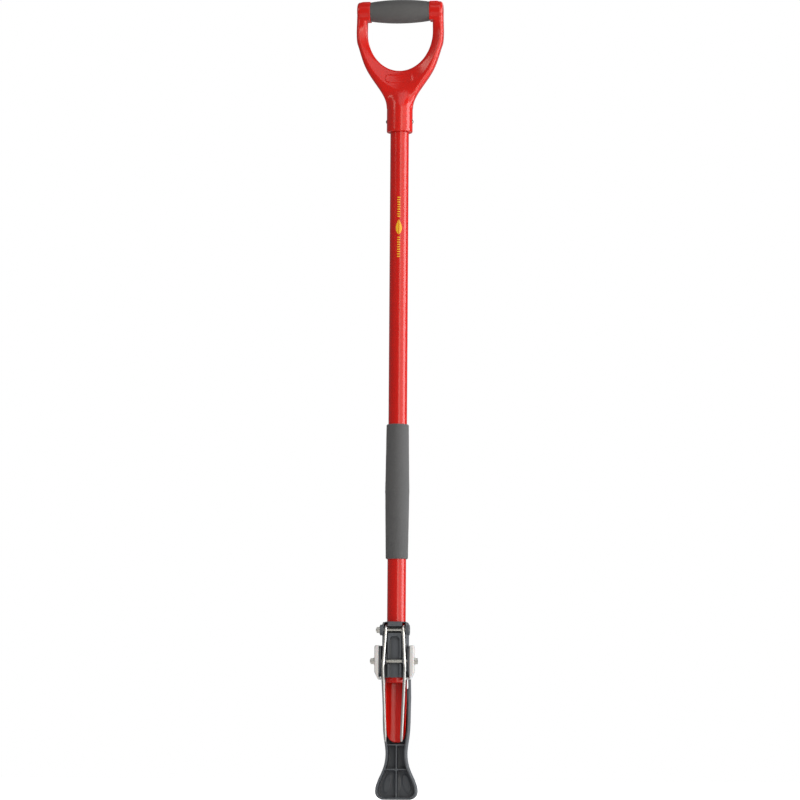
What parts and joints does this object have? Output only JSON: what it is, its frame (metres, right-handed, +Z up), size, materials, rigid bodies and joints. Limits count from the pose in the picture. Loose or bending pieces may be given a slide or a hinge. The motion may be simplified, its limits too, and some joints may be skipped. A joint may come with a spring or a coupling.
{
  "type": "stand-up weed and root extractor",
  "caption": "Long-handled root extractor: D-handle on a tube with a foam grip, gouge blade with hinged steel tines before it, and a foot lever hinged behind.",
  "frame": {"origin": "on the main tube's axis, level with the lowest edge of the hanging foot lever", "axes": "+Z up the main tube to the D-handle, -Y to the side that the tines are on, +X to the right of a viewer who faces the tines"},
  "size_m": [0.1204, 0.0515, 1.0996],
  "materials": {
    "red_paint": "gloss red powder coat, lightly worn at edges",
    "red_plastic": "glossy red moulding",
    "grey_rubber": "soft grey overmould",
    "grey_foam": "fine-celled grey foam",
    "dark_nylon": "satin glass-filled nylon",
    "white_nylon": "satin off-white nylon",
    "zinc_steel": "zinc plated",
    "tine_steel": "bright drawn steel wire, dulled towards the tips",
    "dark_steel": "blackened steel"
  },
  "bodies": {
    "root": {"main_tube": "red_paint", "tube_plug": "dark_nylon", "gouge_blade": "red_paint", "blade_rivet": "zinc_steel", "handle_frame": "red_plastic", "handle_grip": "grey_rubber", "handle_rivet": "dark_steel", "foam_grip": "grey_foam", "bracket": "dark_nylon", "bracket_screws": "zinc_steel", "tine_pivot_bolt": "zinc_steel", "tine_pivot_washer": "zinc_steel", "tine_pivot_nut": "zinc_steel", "guard_right": "white_nylon", "guard_left": "white_nylon"},
    "lever": {"foot_lever": "dark_nylon", "lever_axle": "zinc_steel", "axle_nut": "zinc_steel", "axle_washers": "zinc_steel", "cam_right": "dark_nylon", "cam_left": "dark_nylon"},
    "tine_left_body": {"tine_left": "tine_steel"},
    "tine_right_body": {"tine_right": "tine_steel"}
  },
  "joints": [
    {"name": "lever_hinge", "type": "hinge", "parent": "root", "child": "lever", "pos_m": [0, -0.0195, 0.1867], "axis": [1, 0, 0], "range_deg": [0, 80]},
    {"name": "tine_left_hinge", "type": "hinge", "parent": "root", "child": "tine_left_body", "pos_m": [0, -0.017, 0.2288], "axis": [-1, 0, 0], "range_deg": [0, 9.6]},
    {"name": "tine_right_hinge", "type": "hinge", "parent": "root", "child": "tine_right_body", "pos_m": [0, -0.017, 0.2288], "axis": [-1, 0, 0], "range_deg": [0, 9.6]}
  ],
  "couplings": [
    {"joint": "tine_left_hinge", "follows": "lever_hinge", "ratio": 0.12},
    {"joint": "tine_right_hinge", "follows": "lever_hinge", "ratio": 0.12}
  ]
}
